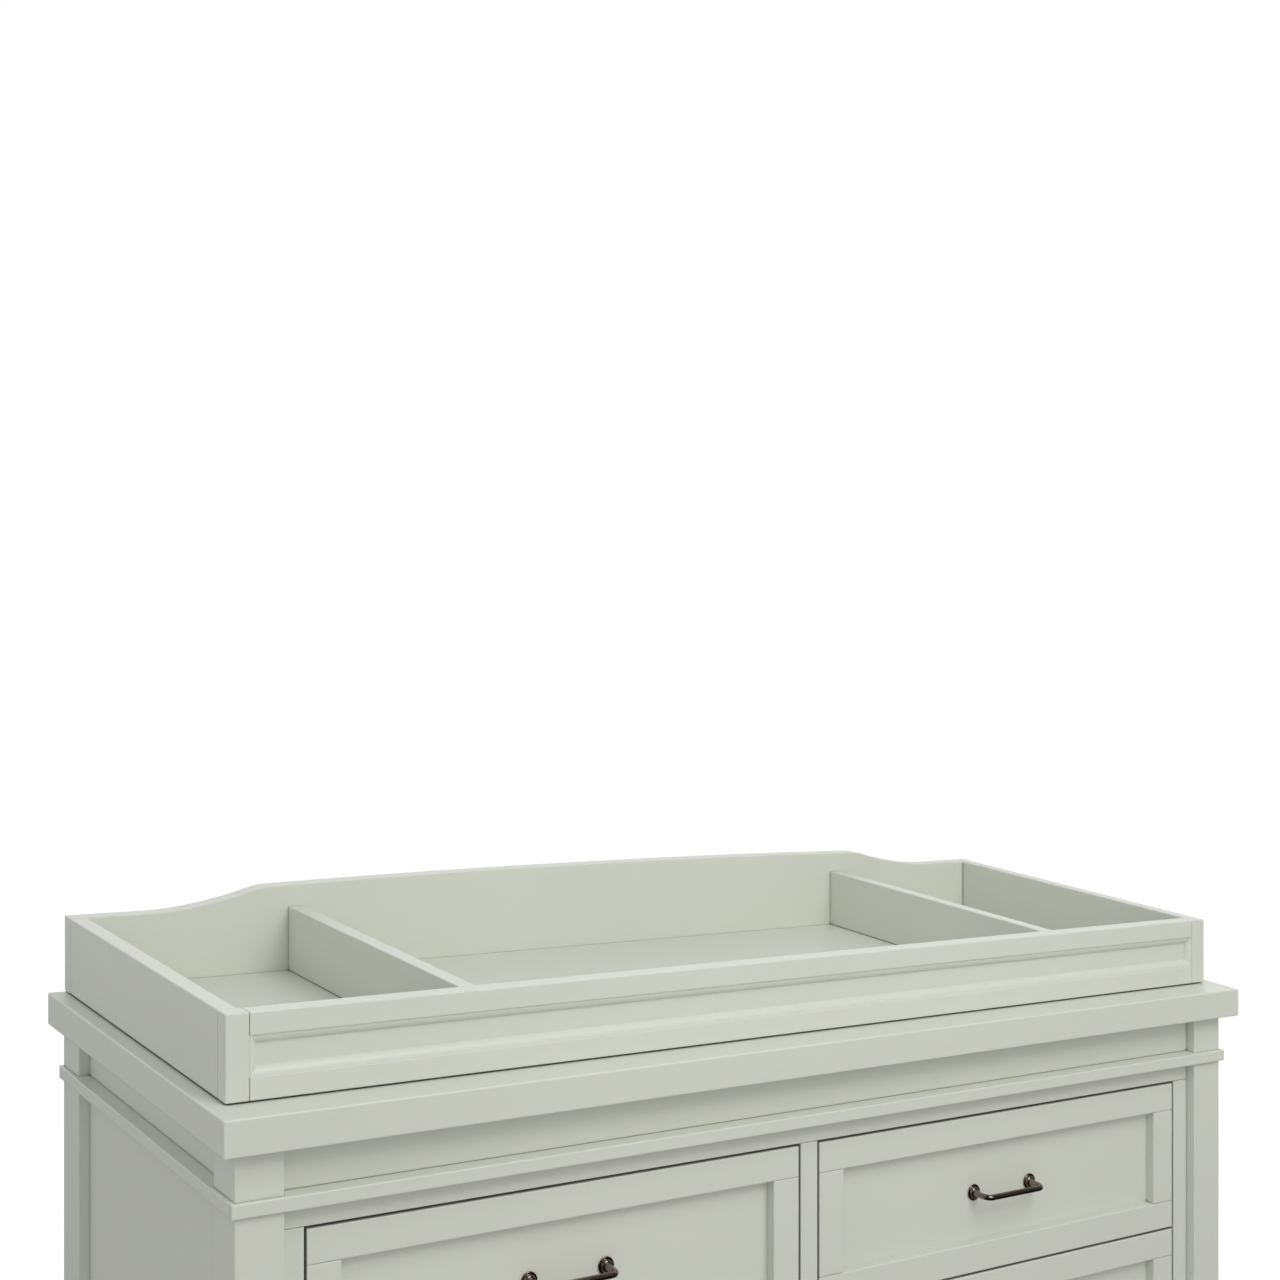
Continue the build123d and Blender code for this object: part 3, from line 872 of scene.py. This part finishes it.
class BuildStage(bpy.types.Operator):
    """Lay the floor, light the room and set up the camera"""

    bl_idname = "nursery.build_stage"
    bl_label = "Build the stage"

    def execute(self, context):
        stage = settings().stage
        self.lay_floor(stage)
        self.light_room(stage)
        self.set_camera(stage)
        return {"FINISHED"}

    def lay_floor(self, stage):
        """A wide pale floor of fine matt vinyl."""
        bm = bmesh.new()
        bmesh.ops.create_grid(bm, x_segments=8, y_segments=8, size=150.0)
        material, tree, shader = new_material("studio_floor")
        speckle = noise(tree, object_point(tree), 300.0, 2.0)
        base = tuple(stage.floor)
        tree.links.new(
            ramp(tree, speckle, [(0.3, tint(base, 0.985)), (0.7, base)]),
            shader.inputs["Base Color"],
        )
        shader.inputs["Roughness"].default_value = 0.9
        shader.inputs["Emission Color"].default_value = (1.0, 1.0, 1.0, 1.0)
        shader.inputs["Emission Strength"].default_value = 0.56
        floor = mesh_object("studio_floor", bm, material)
        floor.visible_glossy = False
        floor.visible_diffuse = False

    def light_room(self, stage):
        """A white room: softly lit, bright behind and dark in front as polished pieces mirror it."""
        world = bpy.data.worlds.new("studio")
        bpy.context.scene.world = world
        world.use_nodes = True
        tree = world.node_tree
        seen = tree.nodes["Background"]
        seen.inputs["Color"].default_value = (1.0, 1.0, 1.0, 1.0)
        room = add(tree, "ShaderNodeBackground", {"Color": (*stage.sky, 1.0)})
        mirrored = add(tree, "ShaderNodeBackground", {"Color": (1.0, 1.0, 1.0, 1.0)})
        direction = tree.nodes.new("ShaderNodeTexCoord")
        axes = tree.nodes.new("ShaderNodeSeparateXYZ")
        tree.links.new(direction.outputs["Generated"], axes.inputs["Vector"])
        behind = add(
            tree,
            "ShaderNodeMapRange",
            {"From Min": -0.2, "From Max": 0.4, "To Min": 0.12, "To Max": 1.3},
        )
        above = add(
            tree,
            "ShaderNodeMapRange",
            {"From Min": -0.3, "From Max": 0.0, "To Min": 0.1, "To Max": 1.0},
        )
        tree.links.new(axes.outputs["Y"], behind.inputs["Value"])
        tree.links.new(axes.outputs["Z"], above.inputs["Value"])
        level = add(tree, "ShaderNodeMath", operation="MULTIPLY")
        tree.links.new(behind.outputs["Result"], level.inputs[0])
        tree.links.new(above.outputs["Result"], level.inputs[1])
        tree.links.new(level.outputs["Value"], mirrored.inputs["Strength"])
        rays = tree.nodes.new("ShaderNodeLightPath")
        shown = room.outputs["Background"]
        for kind, light in (("Is Glossy Ray", mirrored), ("Is Camera Ray", seen)):
            either = tree.nodes.new("ShaderNodeMixShader")
            tree.links.new(rays.outputs[kind], either.inputs["Fac"])
            tree.links.new(shown, either.inputs[1])
            tree.links.new(light.outputs["Background"], either.inputs[2])
            shown = either.outputs["Shader"]
        tree.links.new(shown, tree.nodes["World Output"].inputs["Surface"])
        aim = (0.0, 0.0, 0.75)
        area_light("front_light", stage.key, 2.2, (0.2, -3.4, 2.6), aim, (1.0, 0.96, 0.82))
        area_light("near_light", stage.near, 1.2, (0.2, -1.7, 2.6), aim, (1.0, 1.0, 1.0))
        area_light("left_light", stage.left, 1.2, (-2.6, -0.5, 1.9), aim, (0.98, 0.98, 1.0))

    def set_camera(self, stage):
        """A level camera whose picture is skewed, so that uprights stay upright."""
        data = bpy.data.cameras.new("camera")
        data.sensor_width = 36.0
        data.lens = stage.focal_length
        data.shift_y = -stage.camera_drop
        data.clip_end = 100.0
        camera = bpy.data.objects.new("camera", data)
        bpy.context.scene.collection.objects.link(camera)
        place = Vector(stage.camera_place)
        camera.location = place
        camera.rotation_euler = (math.radians(90.0), 0.0, -stage.camera_turn)
        holder = bpy.data.objects.new("camera_holder", None)
        bpy.context.scene.collection.objects.link(holder)
        right = Vector((math.cos(stage.camera_turn), -math.sin(stage.camera_turn), 0.0))
        skew = Matrix.Identity(4)
        for i in range(3):
            skew[2][i] += stage.camera_skew * right[i]
        camera.parent = holder
        camera.matrix_parent_inverse = Matrix.Translation(place) @ skew @ Matrix.Translation(-place)
        bpy.context.scene.camera = camera
        bpy.context.scene.view_settings.view_transform = "Standard"


# ---------------------------------------------------------------- add-on
class ChangingTableSettings(bpy.types.PropertyGroup):
    """All the settings of the changing table."""

    paint: PointerProperty(type=PaintFinish, name="Paint", description="The satin paint")
    timber: PointerProperty(type=TimberFinish, name="Timber", description="Wood that isn't painted")
    metal: PointerProperty(type=MetalFinish, name="Metal", description="Bronze and zinc")
    pull: PointerProperty(type=PullShape, name="Pull", description="The drawer pulls")
    stage: PointerProperty(type=StageSettings, name="Stage", description="Floor, lights and camera")


OPERATORS = (
    PaintCase,
    FinishInside,
    FinishDrawers,
    FinishSlides,
    MakePulls,
    PaintTray,
    FitBrackets,
    FitFeet,
    BuildStage,
)


class ChangingTablePanel(bpy.types.Panel):
    """Lists the steps and their settings."""

    bl_idname = "VIEW3D_PT_changing_table"
    bl_label = "Changing Table"
    bl_space_type = "VIEW_3D"
    bl_region_type = "UI"
    bl_category = "Changing Table"

    def draw(self, context):
        table = settings()
        for name in ("paint", "timber", "metal", "pull", "stage"):
            group = getattr(table, name)
            box = self.layout.box()
            box.label(text=name.capitalize())
            for key in group.__annotations__:
                box.prop(group, key)
        for operator in OPERATORS:
            self.layout.operator(operator.bl_idname)


CLASSES = (
    PaintFinish,
    TimberFinish,
    MetalFinish,
    PullShape,
    StageSettings,
    ChangingTableSettings,
    *OPERATORS,
    ChangingTablePanel,
)


def register():
    for cls in CLASSES:
        bpy.utils.register_class(cls)
    bpy.types.Scene.changing_table = PointerProperty(type=ChangingTableSettings)


def unregister():
    del bpy.types.Scene.changing_table
    for cls in reversed(CLASSES):
        bpy.utils.unregister_class(cls)


def main():
    register()
    for operator in OPERATORS:
        area, name = operator.bl_idname.split(".")
        getattr(getattr(bpy.ops, area), name)()


if __name__ == "__main__":
    main()
